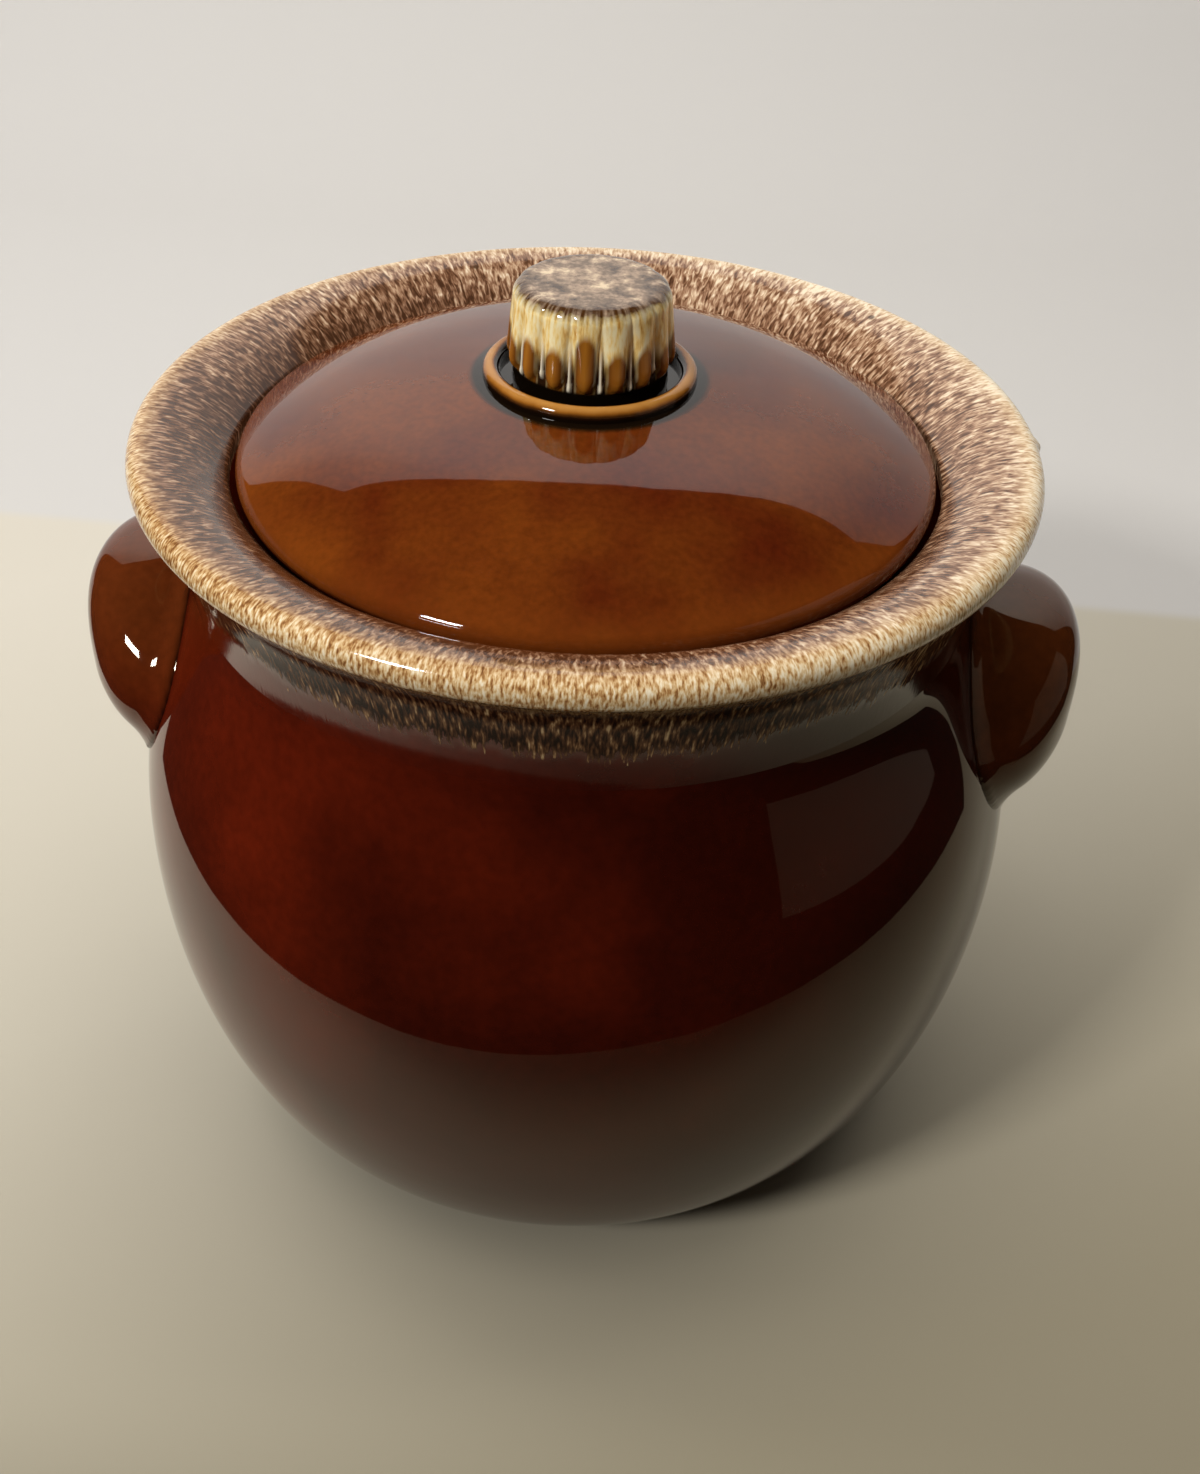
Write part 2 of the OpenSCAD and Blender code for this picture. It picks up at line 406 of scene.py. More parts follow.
# %% Lay the glaze on the rim
GLAZE_T = 0.22 * MM
RUN_SOFT = 0.7 * MM
SEAT_PAST = 2 * MM
NO_GLAZE = -5 * MM
BUMP_TURN = math.radians(3)
BUMP_T = 0.9 * MM
BUMP_R = 1.6 * MM
BUMP_DOWN = 3 * MM
rows = points_of(rim)
run = run_of(rows)
keys, which = np.unique(np.arctan2(rows[:, 1], rows[:, 0]).round(5), return_inverse=True)
past = run - run_edge(keys)[which.ravel()]
outside = run < seat_run + SEAT_PAST
glaze = np.clip(past / RUN_SOFT + 0.5, 0, 1) * outside
normals = np.array([v.normal[:] for v in rim.data.vertices])
move_points(rim, rows + normals * (GLAZE_T * glaze)[:, None])
keep_value(rim, "run", run)
keep_value(rim, "past", np.where(outside, past, NO_GLAZE))
rows = points_of(rim)
bump_x, bump_y = math.cos(BUMP_TURN) * rim_high.x, math.sin(BUMP_TURN) * rim_high.x
bump_at = Vector((bump_x, bump_y, rim_high.z - BUMP_DOWN))
bump = BUMP_T * np.exp(-((rows - np.array(bump_at)) ** 2).sum(1) / BUMP_R ** 2)
move_points(rim, rows + normals * bump[:, None])
let_sag(rim)
smooth(rim)
print("Rim:", len(rim.data.polygons), "faces, pale glaze on", round(100 * glaze.mean()), "% of its points")

# %% [markdown]
# ## Foot ring
# The jar stands on a low ring that was wiped free of glaze, so it shows the bare buff stoneware. Its edges
# were rounded with a sponge, which a bevel gives.

# %% Turn the foot ring and round its edges
FOOT_STEPS = 192
FOOT_BEVEL = 0.6 * MM
BEVEL_STEPS = 3
foot = half_outline("foot_ring", "bare_foot_ring")
turn(foot, FOOT_STEPS)
apply_modifier(foot, "BEVEL", width=FOOT_BEVEL, segments=BEVEL_STEPS, limit_method="ANGLE")
smooth(foot)
print("Foot ring:", len(foot.data.polygons), "faces")

# %% [markdown]
# ## Lid
# The lid is a low dome with a rounded edge, hollow beneath, and a ring under it that keeps it in the middle
# of the mouth. Its top was never quite flat, so it gets a slow swell of its own, which fades out at the
# bead and at the edge.

# %% Turn the dome and the flange
LID_STEPS = 160
SWELL = 0.10 * MM
SWELL_ACROSS = 34 * MM
SWELL_IN, SWELL_OUT = 12 * MM, 6 * MM
FLANGE_BEVEL = 0.8 * MM
dome = half_outline("lid_dome", "glazed_lid")
dome_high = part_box("lid_dome")[1]
bead_low, bead_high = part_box("knob_bead")
turn(dome, LID_STEPS)
crease_sharp(dome)
subdivide(dome)
rows = points_of(dome)
reach = np.hypot(rows[:, 0], rows[:, 1])
fade = np.clip((reach - bead_high.x) / SWELL_IN, 0, 1) * np.clip((dome_high.x - reach) / SWELL_OUT, 0, 1)
rows[:, 2] += fade * SWELL * np.array([noise.noise(Vector(row) / SWELL_ACROSS) for row in rows])
move_points(dome, rows)
smooth(dome)
flange = half_outline("lid_flange", "lid_locating_ring")
turn(flange, LID_STEPS)
apply_modifier(flange, "BEVEL", width=FLANGE_BEVEL, segments=BEVEL_STEPS, limit_method="ANGLE")
smooth(flange)
print("Lid:", len(dome.data.polygons), "faces, radius", round(dome_high.x / MM, 2), "mm")

# %% [markdown]
# ## Bead round the knob
# A round bead of clay rings the foot of the knob and covers its joint with the lid. It is turned from its
# packed outline, like the lid itself.

# %% Turn the bead
bead = half_outline("knob_bead", "lid_bead")
turn(bead, LID_STEPS)
smooth(bead)
print("Bead:", len(bead.data.polygons), "faces")

# %% [markdown]
# ## Ribbed knob
# The knob has sixteen ribs with rounded lower ends, like a row of fingers. All are alike, so one formula
# gives the form of one of them: where a point lies that is so far across the rib, from groove to groove, and
# so far on the way up the knob, over its edge and in to the middle of its top.

# %% Form of one rib
RIBS = 16
GROOVE = 1.8 * MM
STEM_H = 3.2 * MM
TIP_LONG = 3.4 * MM
EDGE_R = 2.8 * MM
KNOB_LEAN = 1.9 * MM
SIDE_END, EDGE_END = 0.60, 0.74
RIB_OUT = 0.3 * MM
TOP_FADE = 0.25
FINGER_W, FINGER_MORE, FINGER_LEAST = 0.66, 0.3, 0.05
FINGER_ROUND = 0.6
knob_low, knob_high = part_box("knob")
knob_h = knob_high.z - knob_low.z
foot_reach = knob_high.x + RIB_OUT
top_reach = foot_reach - KNOB_LEAN
side_h = knob_h - EDGE_R


def rib_place(across, up):
    """Place on the knob of one point of the grid, with across from -1 to 1 between two grooves."""
    fade = 0
    if up < SIDE_END:
        z = up / SIDE_END * side_h
        rise = z / side_h
        reach = foot_reach + (top_reach - foot_reach) * rise
        fade = 1 - (1 - TOP_FADE) * rise ** 2
    elif up < EDGE_END:
        turn_by = (up - SIDE_END) / (EDGE_END - SIDE_END) * math.pi / 2
        z = side_h + EDGE_R * math.sin(turn_by)
        rise = 1
        reach = top_reach - EDGE_R + EDGE_R * math.cos(turn_by)
        fade = TOP_FADE * math.cos(turn_by)
    else:
        z = knob_h
        rise = 1
        reach = (top_reach - EDGE_R) * (1 - up) / (1 - EDGE_END)
    tip = min(max((z - STEM_H) / TIP_LONG, 0), 1)
    bulge = math.sqrt(1 - (1 - tip) ** 2)
    wide = (FINGER_W + FINGER_MORE * rise ** 2) * max(bulge, FINGER_LEAST)
    finger = bulge * max(0, 1 - (across / wide) ** 2) ** FINGER_ROUND
    reach -= GROOVE * fade * (1 - finger)
    angle = across * math.pi / RIBS - math.pi / 2
    return reach * math.cos(angle), reach * math.sin(angle), knob_low.z + z


print("Rib: foot radius", round(foot_reach / MM, 1), "mm, top radius", round(top_reach / MM, 1), "mm")

# %% [markdown]
# ## Spinning the rib round
# A flat grid is bent into one rib, with its rows gathered towards the grooves, where the form turns most.
# Spin then copies it round the axis, and the copies are merged where they meet.

# %% Bend a grid into a rib and spin it
RIB_ACROSS, RIB_UP = 24, 64
RIB_MERGE = 5 * MERGE
bpy.ops.object.select_all(action="DESELECT")
bpy.ops.mesh.primitive_grid_add(x_subdivisions=RIB_ACROSS, y_subdivisions=RIB_UP, size=2)
knob = bpy.context.object
knob.name = "ribbed_knob"
grid = points_of(knob)
climb = (grid[:, 1] + 1) / 2
gathered = np.sin(grid[:, 0] * math.pi / 2)
move_points(knob, np.array([rib_place(a, u) for a, u in zip(gathered, climb)]))
keep_value(knob, "climb", climb)
bpy.ops.object.mode_set(mode="EDIT")
bpy.ops.mesh.select_all(action="SELECT")
bpy.ops.mesh.spin(steps=RIBS, dupli=True, angle=math.tau, center=(0, 0, 0), axis=(0, 0, 1))
close_seams(RIB_MERGE)
print("Knob:", len(knob.data.polygons), "faces")

# %% [markdown]
# ## Glaze on the knob
# The pale glaze stops at another height on every rib, and a thin thread of it hangs in every groove and
# ends in a drop. Both are worked out for each rib from a seeded generator. The threads are raised from the
# groove, and how far each point lies inside a bare tongue or a thread is kept for the finish.

# %% Tongues and threads
THREAD_W = 0.11
THREAD_T = 0.45 * MM
DROP_LONG = 0.9 * MM
DROP_MORE, DROP_AT, DROP_ROUND = 0.8, 0.9, 0.5
DROP_WIDER = 1.35
DROP_SPAN = 2
FRONT_TONGUE = 0.90
FRONT_TURN = 0.25
ARCH_DROP, ARCH_SOFT = 5.5 * MM, 1.7 * MM
TONGUE_EDGE, TONGUE_SOFT = 0.72, 0.16
THREAD_END, THREAD_FADE = 0.8, 0.3
draw = np.random.default_rng(21)
tongue_top = draw.uniform(0.60, 0.74, RIBS) * side_h
tongue_top[0] = FRONT_TONGUE * side_h
thread_low = draw.uniform(2.4, 5.2, RIBS) * MM
rows = points_of(knob)
reach = np.hypot(rows[:, 0], rows[:, 1])
z = rows[:, 2] - knob_low.z
turns = (np.arctan2(rows[:, 1], rows[:, 0]) / math.tau + FRONT_TURN) % 1 * RIBS
rib = np.round(turns).astype(int) % RIBS
across = 2 * (turns - np.round(turns))
groove = np.floor(turns).astype(int) % RIBS
from_groove = (1 - np.abs(across)) / THREAD_W
hang = (z - thread_low[groove]) / DROP_LONG
drop = np.clip(hang, 0, 1) * (1 + DROP_MORE * np.exp(-(hang - DROP_AT) ** 2 / DROP_ROUND))
profile = np.sqrt(np.clip(1 - (from_groove / np.where(hang < DROP_SPAN, DROP_WIDER, 1)) ** 2, 0, 1))
thread = profile * np.sqrt(np.clip(drop, 0, 2)) * (z < side_h) * (hang > 0)
arch = tongue_top[rib] - z - ARCH_DROP * across ** 2
on_rib = np.clip((TONGUE_EDGE - np.abs(across)) / TONGUE_SOFT, 0, 1)
tongue = np.clip(arch / ARCH_SOFT + 0.5, 0, 1) * on_rib
fade_up = np.clip((THREAD_END * side_h - z) / (THREAD_FADE * side_h), 0, 1)
push = THREAD_T * thread * fade_up
rows[:, :2] *= (1 + push / np.maximum(reach, MM))[:, None]
move_points(knob, rows)
keep_value(knob, "tongue", tongue)
keep_value(knob, "thread", thread * fade_up)
keep_value(knob, "across", np.abs(across))
smooth(knob, angle=80)
print("Tongues reach", round(tongue_top.min() / MM, 1), "to", round(tongue_top.max() / MM, 1),
      "mm up the knob")

# %% [markdown]
# ## Colours and nodes
# Colours are written as sRGB hex values, as a colour picker gives them, and one function turns them into
# the linear values that shaders use. One function adds a node with its settings and links, and gives back
# the output that is used next. Inputs go by name or number, or as a row in the node's own order. Map Range
# is used most: its row holds a value, the two limits of that value and the two results for them.

# %% Colour and node helpers
SOFT = {"interpolation_type": "SMOOTHSTEP"}
COLOURS = {"data_type": "RGBA"}
TIMES = {"operation": "MULTIPLY"}
TIMES_PLUS = {"operation": "MULTIPLY_ADD"}
DOT = {"operation": "DOT_PRODUCT"}
SCALE = {"operation": "SCALE"}
PLAIN_IOR, GLAZE_IOR = 1.5, 1.52


def hue(code):
    """Linear colour of an sRGB hex code."""
    parts = [int(code[i:i + 2], 16) / 255 for i in (1, 3, 5)]
    return [c / 12.92 if c <= 0.04045 else ((c + 0.055) / 1.055) ** 2.4 for c in parts] + [1]


def node(tree, kind, settings=None, feeds=(), stops=(), out=None):
    """Add a node and give its named output, or else the first one in use. Stops make a colour ramp."""
    made = tree.nodes.new("ShaderNode" + kind)
    for name, value in (settings or {}).items():
        setattr(made, name, value)
    for name, value in feeds.items() if isinstance(feeds, dict) else enumerate(feeds):
        if isinstance(value, bpy.types.NodeSocket):
            tree.links.new(value, made.inputs[name])
        else:
            made.inputs[name].default_value = value
    for i, (place, code) in enumerate(stops):
        marks = made.color_ramp.elements
        stop = marks[i] if i < 2 else marks.new(place)
        stop.position, stop.color = place, hue(code)
    return made.outputs[out] if out else next(end for end in made.outputs if end.enabled)


def new_material(name, roughness, ior=PLAIN_IOR):
    """A material of one gloss, with its tree, its shader and its object coordinates."""
    material = bpy.data.materials.new(name)
    material.use_nodes = True
    tree = material.node_tree
    shader = tree.nodes["Principled BSDF"]
    shader.inputs["Roughness"].default_value = roughness
    shader.inputs["IOR"].default_value = ior
    place = node(tree, "TexCoord", out="Object")
    return material, tree, shader, place


# %% [markdown]
# ## Red-brown glaze
# The dark glaze is glass stained by iron. It is a true mirror at its surface, and its colour lies deeper:
# nearly black-red where it is thick, and redder where it ran thin. Soft clouds a few centimetres across
# carry that change. On top of it the glaze is painted redder towards the upper left and front, which is
# painted light. A fine mottle breaks it up, and a very low ripple bends reflections as on real glaze.
# The tops of the lugs, which it drained from, are browner, and the joint where it pooled is almost black.

# %% Red-brown iron glaze
CLOUD = 38 * MM
MOTTLE = 2.2 * MM
PEEL = 9 * MM
PEEL_H = 0.02 * MM
PAINTED_LIGHT_SIDE = (-1.9, -0.8, 1.6)
THIN_MORE = 0.03
CLOUD_DEEP = 0.55
DRAINED_FROM, DRAINED_FULL, DRAINED_MOST = 0.2, 0.95, 0.62
NOISE_LOW, NOISE_HIGH = 0.3, 0.7


def iron_colour(tree, place):
    """Colour of the red-brown glaze at a place, for every piece that wears it."""
    cloud = node(tree, "TexNoise", None, {"Vector": place, "Scale": 1 / CLOUD, "Detail": 3})
    # Clouds of thin glaze, plus painted light: redder towards the upper left and front.
    thin = node(tree, "VectorMath", DOT, (place, PAINTED_LIGHT_SIDE))
    thin = node(tree, "Math", {"operation": "ADD"}, (thin, THIN_MORE))
    thin = node(tree, "Math", TIMES_PLUS, (cloud, CLOUD_DEEP, thin))
    deep = node(tree, "ValToRGB", None, (thin,), [(0.30, "#260501"), (0.76, "#5a1706"), (0.52, "#360b03")])
    height = node(tree, "Attribute", {"attribute_name": "thin"}, out="Fac")
    drained = node(tree, "MapRange", SOFT, (height, DRAINED_FROM, DRAINED_FULL, 0, DRAINED_MOST))
    deep = node(tree, "Mix", COLOURS, {0: drained, 6: deep, 7: hue("#5a2c0e")})
    pooled = node(tree, "Attribute", {"attribute_name": "pool"}, out="Fac")
    deep = node(tree, "Mix", COLOURS, {0: pooled, 6: deep, 7: hue("#120301")})
    fine = node(tree, "TexNoise", None, {"Vector": place, "Scale": 1 / MOTTLE, "Detail": 2})
    shade = node(tree, "MapRange", None, (fine, NOISE_LOW, NOISE_HIGH, 0.88, 1.12))
    return node(tree, "VectorMath", SCALE, {0: deep, "Scale": shade})


def ripple(tree, place, depth=PEEL_H):
    """Low ripple of a fired glaze surface."""
    peel = node(tree, "TexNoise", None, {"Vector": place, "Scale": 1 / PEEL, "Detail": 1})
    return node(tree, "Bump", None, {"Height": peel, "Distance": depth, "Strength": 1})


iron_glaze, tree, shader, place = new_material("red_brown_iron_glaze", roughness=0.035, ior=GLAZE_IOR)
tree.links.new(iron_colour(tree, place), shader.inputs["Base Color"])
tree.links.new(ripple(tree, place), shader.inputs["Normal"])
shader.inputs["Specular Tint"].default_value = hue("#f6e6cc")
print("Material:", iron_glaze.name)

# %% [markdown]
# ## Pale run glaze on the rim
# Where the pale glaze lies over the dark one, the two boil together in the kiln and break into a foam of
# cream, tan and brown, drawn out the way the glaze ran. So the pattern has to follow the rim: its
# coordinates are the direction from the axis, which has no seam, and the distance run from the neck. That
# distance, as a share of the way to the lid's seat, also tells underside, lip and flare apart.

# %% Coordinates that follow the rim
FLATTEN = (1, 1, 0)
LIP_FROM, LIP_FULL = 0.40, 0.50
FLARE_FROM, FLARE_FULL = 0.60, 0.74


def unrolled(tree, place, reach, run, squeeze):
    """Coordinates that follow a turned surface: round the axis at one reach, and along its outline."""
    flat = node(tree, "VectorMath", TIMES, (place, FLATTEN))
    round_it = node(tree, "VectorMath", {"operation": "NORMALIZE"}, (flat,))
    ring = node(tree, "VectorMath", SCALE, {0: round_it, "Scale": reach})
    short = node(tree, "Math", TIMES, (run, 1 / squeeze))
    up = node(tree, "CombineXYZ", None, {"Z": short})
    return node(tree, "VectorMath", {"operation": "ADD"}, (ring, up))


cream_glaze, tree, shader, place = new_material("cream_run_glaze", roughness=0.10, ior=GLAZE_IOR)
run_here = node(tree, "Attribute", {"attribute_name": "run"}, out="Fac")
along = node(tree, "MapRange", None, (run_here, 0, seat_run))
to_lip = node(tree, "MapRange", SOFT, (along, LIP_FROM, LIP_FULL))
to_flare = node(tree, "MapRange", SOFT, (along, FLARE_FROM, FLARE_FULL))
print("Lip from", round(LIP_FROM * seat_run / MM, 1), "to", round(FLARE_FULL * seat_run / MM, 1),
      "mm along the outline")

# %% [markdown]
# ## Grain and thickness of the pale glaze
# Three noises give the grain: long streaks under the lip, fine flecks on the lip and drawn-out cells on the
# flare. Each has a width, a stretch along the run and a bend. How much pale glaze lies at a place changes
# along the outline and round the rim. Grain and load together are the thickness, and every colour of the
# rim is looked up from it.

# %% Streaks, flecks, cells and load
GRAINS = {"streak": (0.72 * MM, 4.6, 0), "fleck": (0.5 * MM, 2.6, 0), "cell": (0.9 * MM, 2.9, 0.5)}
PATCH = 13 * MM
THICK_SIDE = (0.62, 0.66, 0)
SIDE_LOAD, PATCH_LOAD, LOAD_SHARE = 0.26, 0.5, 0.42
grains = {}
for name, (width, stretch, bend) in GRAINS.items():
    grain_at = unrolled(tree, place, rim_high.x, run_here, stretch)
    grains[name] = node(tree, "TexNoise", None, {"Vector": grain_at, "Scale": 1 / width, "Detail": 2,
                                                 "Distortion": bend})
patch = node(tree, "TexNoise", None, {"Vector": place, "Scale": 1 / PATCH, "Detail": 2})
thick_side = node(tree, "VectorMath", DOT, (place, [c / rim_high.x for c in THICK_SIDE]))
load = node(tree, "ValToRGB", None, (along,),
            [(0.20, "#868686"), (1.00, "#4e4e4e"), (0.42, "#9c9c9c"), (0.52, "#cecece"), (0.62, "#cccccc"),
             (0.74, "#9c9c9c"), (0.88, "#808080")])
load = node(tree, "Math", TIMES_PLUS, (thick_side, SIDE_LOAD, load))
load = node(tree, "Math", TIMES_PLUS, (patch, PATCH_LOAD, load))
grain = node(tree, "Mix", None, {0: to_lip, 2: grains["streak"], 3: grains["fleck"]})
grain = node(tree, "Mix", None, {0: to_flare, 2: grain, 3: grains["cell"]})
thick = node(tree, "Math", TIMES_PLUS, (load, LOAD_SHARE, grain))
print("Grain:", ", ".join(GRAINS))

# %% [markdown]
# ## Colours of the rim
# Cream gathers on the lip. Brown shows towards the lid, under the lip and between the threads, and under the
# lip the colours are darkened further as painted shade. Here and there a bubble burst and left a dark speck.
# Below its ragged fringe the pale glaze ends, and the red-brown glaze of the pot goes on. The foam is dull
# on the underside of the lip and glossy everywhere else.

# %% Foamed cream glaze over brown
SPECK_APART = 11 * MM
SPECK_R, SPECK_EDGE, SPECK_DARK = 0.05, 0.09, 0.8
FRINGE = 11 * MM
FRINGE_FROM, FRINGE_FULL = 5.2 * MM, 6.2 * MM
BUBBLE_H = 0.04 * MM
GLOSSY, DULL = 0.5, 0.08
lip = node(tree, "ValToRGB", None, (thick,),
           [(0.58, "#7c4f2a"), (0.98, "#f4e4c4"), (0.68, "#ab7c49"), (0.77, "#cfa873"), (0.87, "#e6cb9e")])
flare = node(tree, "ValToRGB", None, (thick,),
             [(0.57, "#482d1c"), (1.00, "#e8d3b4"), (0.68, "#704c34"), (0.77, "#956f54"),
              (0.87, "#bf9d7c")])
# Under the lip the stops are darker than the foam itself: painted shade under the lip.
under_lip_foam_and_shade = node(tree, "ValToRGB", None, (thick,),
             [(0.54, "#22130a"), (0.92, "#ccae80"), (0.64, "#402718"), (0.73, "#604028"),
              (0.81, "#8f6b47")])
foam = node(tree, "Mix", COLOURS, {0: to_flare, 6: lip, 7: flare})
foam = node(tree, "Mix", COLOURS, {0: to_lip, 6: under_lip_foam_and_shade, 7: foam})
speck = node(tree, "TexVoronoi", None, {"Vector": place, "Scale": 1 / SPECK_APART})
burst = node(tree, "MapRange", None, (speck, SPECK_R, SPECK_EDGE, SPECK_DARK, 0))
foam = node(tree, "Mix", COLOURS, {0: burst, 6: foam, 7: hue("#3a2413")})
past_here = node(tree, "Attribute", {"attribute_name": "past"}, out="Fac")
fringe = node(tree, "Math", TIMES_PLUS, (grains["streak"], FRINGE, past_here))
cover = node(tree, "MapRange", SOFT, (fringe, FRINGE_FROM, FRINGE_FULL))
rim_colour = node(tree, "Mix", COLOURS, {0: cover, 6: iron_colour(tree, place), 7: foam})
tree.links.new(rim_colour, shader.inputs["Base Color"])
bubbles = node(tree, "Bump", None, {"Height": thick, "Distance": BUBBLE_H, "Strength": 0.5,
                                    "Normal": ripple(tree, place)})
tree.links.new(bubbles, shader.inputs["Normal"])
below = node(tree, "Math", {"operation": "SUBTRACT"}, (1.0, to_lip))
dull = node(tree, "Math", TIMES, (below, cover))
gloss = node(tree, "MapRange", None, (dull, 0, 1, GLOSSY, DULL))
tree.links.new(gloss, shader.inputs["Specular IOR Level"])
print("Material:", cream_glaze.name)

# %% [markdown]
# ## Amber glaze on the lid
# The same iron glaze lies thinner on the lid and lets the warm clay show, so it looks amber to chestnut. It
# is darkest where it pooled, close around the bead, and lightest on the edge, which it ran away from. The
# pool lies on top of the lid alone, so a test of height keeps it off the underside.

# %% Amber glaze, pooled at the bead and thin at the edge
LID_CLOUD = 30 * MM
LID_MOTTLE = 1.4 * MM
EDGE_FROM, EDGE_FULL, EDGE_MOST = 7 * MM, 1 * MM, 0.30
POOL_FULL, POOL_END, POOL_DEEP = 1.6 * MM, 3.2 * MM, 2 * MM


def from_axis(tree, place):
    """Distance of a place from the jar's axis."""
    flat = node(tree, "VectorMath", TIMES, (place, FLATTEN))
    return node(tree, "VectorMath", {"operation": "LENGTH"}, (flat,))


amber_glaze, tree, shader, place = new_material("amber_iron_glaze", roughness=0.03, ior=GLAZE_IOR)
reach = from_axis(tree, place)
cloud = node(tree, "TexNoise", None, {"Vector": place, "Scale": 1 / LID_CLOUD, "Detail": 3})
warm = node(tree, "ValToRGB", None, (cloud,), [(0.30, "#4a1505"), (0.72, "#6c330b"), (0.50, "#592508")])
fine = node(tree, "TexNoise", None, {"Vector": place, "Scale": 1 / LID_MOTTLE, "Detail": 3})
shade = node(tree, "MapRange", None, (fine, NOISE_LOW, NOISE_HIGH, 0.84, 1.16))
mottled = node(tree, "VectorMath", SCALE, {0: warm, "Scale": shade})
thin = node(tree, "MapRange", None, (reach, dome_high.x - EDGE_FROM, dome_high.x - EDGE_FULL, 0, EDGE_MOST))
edged = node(tree, "Mix", COLOURS, {0: thin, 6: mottled, 7: hue("#7d3e0f")})
near_bead = node(tree, "MapRange", SOFT, (reach, bead_high.x + POOL_FULL, bead_high.x + POOL_END, 1, 0))
tall = node(tree, "SeparateXYZ", None, (place,), out="Z")
on_top = node(tree, "Math", {"operation": "GREATER_THAN"}, (tall, bead_low.z - POOL_DEEP))
pool = node(tree, "Math", TIMES, (near_bead, on_top))
pooled = node(tree, "Mix", COLOURS, {0: pool, 6: edged, 7: hue("#120a04")})
tree.links.new(pooled, shader.inputs["Base Color"])
tree.links.new(ripple(tree, place), shader.inputs["Normal"])
print("Material:", amber_glaze.name)

# %% [markdown]
# ## Glaze on the bead
# Glaze runs off a raised edge and pools beside it. So the crest of the bead is light amber, while its inner
# side, next to the knob, and its foot are nearly black. Height and distance from the axis decide, both made
# a little uneven by noise. At the back the glaze lies thicker and the amber is darker.

# %% Amber crest and black pool
WANDER, WANDER_UP, WANDER_OUT = 4 * MM, 0.8 * MM, 0.5 * MM
CREST_FROM, CREST_FULL = 1.2 * MM, 3.1 * MM
OUTER_FROM, OUTER_FULL = 2.6 * MM, 1.4 * MM
BACK_FULL, BACK_LEFT = 12 * MM, 0.45
bead_glaze, tree, shader, place = new_material("bead_glaze", roughness=0.05, ior=GLAZE_IOR)
wander = node(tree, "TexNoise", None, {"Vector": place, "Scale": 1 / WANDER, "Detail": 2})
tall = node(tree, "SeparateXYZ", None, (place,), out="Z")
tall = node(tree, "Math", TIMES_PLUS, (wander, WANDER_UP, tall))
reach = node(tree, "Math", TIMES_PLUS, (wander, WANDER_OUT, from_axis(tree, place)))
high = node(tree, "MapRange", SOFT, (tall, bead_low.z + CREST_FROM, bead_low.z + CREST_FULL))
outer = node(tree, "MapRange", SOFT, (reach, bead_high.x - OUTER_FROM, bead_high.x - OUTER_FULL))
crest = node(tree, "Math", TIMES, (high, outer))
behind = node(tree, "SeparateXYZ", None, (place,), out="Y")
ran_off = node(tree, "MapRange", SOFT, (behind, 0, BACK_FULL, 1, BACK_LEFT))
crest = node(tree, "Math", TIMES, (crest, ran_off))
crest_colour = node(tree, "ValToRGB", None, (crest,),
                    [(0.0, "#140a04"), (1.0, "#b27b39"), (0.3, "#57300d"), (0.6, "#8f571b")])
tree.links.new(crest_colour, shader.inputs["Base Color"])
print("Material:", bead_glaze.name)

# %% [markdown]
# ## Side of the knob
# The pale glaze was poured over the knob and ran down the grooves. On the ribs it stopped early, so each
# rib ends in a bare amber tongue, and the grooves between them carry pale threads down to the black pool at
# the foot. The numbers kept on the points say how far up and how far across a rib a place is, and whether
# it lies in a tongue or in a thread.

# %% Cream, amber tongues, pale threads, black foot
KNOB_STREAK, KNOB_STREAK_LONG = 0.9 * MM, 4.0
GROOVE_FADE = 0.40
DITCH_FROM, DITCH_FULL = 0.52, 0.72
DITCH_TOP, DITCH_END = 0.22, 0.44
FOOT_POOL, FOOT_POOL_END = 0.10, 0.13
knob_glaze, tree, shader, place = new_material("knob_run_glaze", roughness=0.08, ior=GLAZE_IOR)
climb_here, tongue_here, thread_here, across_here = (
    node(tree, "Attribute", {"attribute_name": name}, out="Fac")
    for name in ("climb", "tongue", "thread", "across"))
tall = node(tree, "SeparateXYZ", None, (place,), out="Z")
knob_at = unrolled(tree, place, foot_reach, tall, KNOB_STREAK_LONG)
streak = node(tree, "TexNoise", None, {"Vector": knob_at, "Scale": 1 / KNOB_STREAK, "Detail": 3})
amber = node(tree, "ValToRGB", None, (across_here,),
             [(0.0, "#a5691f"), (0.72, "#2e1808"), (0.34, "#8a5217"), (0.56, "#5c340f")])
cream = node(tree, "ValToRGB", None, (streak,), [(0.28, "#cf9540"), (0.62, "#fff0be"), (0.45, "#f8d688")])
# Painted shade: the cream is darkened towards each groove, less so higher up and not at all on the top.
groove_shade_fade = node(tree, "MapRange", None, (climb_here, 0, SIDE_END, 1, GROOVE_FADE))
painted_groove_shade_at = node(tree, "Math", TIMES, (across_here, groove_shade_fade))
painted_groove_shade = node(tree, "ValToRGB", None, (painted_groove_shade_at,), [(0.45, "#ffffff"), (0.95, "#c89c5c")])
cream = node(tree, "Mix", {**COLOURS, "blend_type": "MULTIPLY"}, {0: 1.0, 6: cream, 7: painted_groove_shade})
low = node(tree, "MapRange", SOFT, (climb_here, DITCH_TOP, DITCH_END, 1, 0))
ditch = node(tree, "MapRange", SOFT, (across_here, DITCH_FROM, DITCH_FULL))
ditch = node(tree, "Math", TIMES, (ditch, low))
foot_pool = node(tree, "MapRange", SOFT, (climb_here, FOOT_POOL, FOOT_POOL_END, 1, 0))
dressed = node(tree, "Mix", COLOURS, {0: tongue_here, 6: cream, 7: amber})
for share, code in ((ditch, "#2a170a"), (thread_here, "#efe3c8"), (foot_pool, "#0d0703")):
    dressed = node(tree, "Mix", COLOURS, {0: share, 6: dressed, 7: hue(code)})
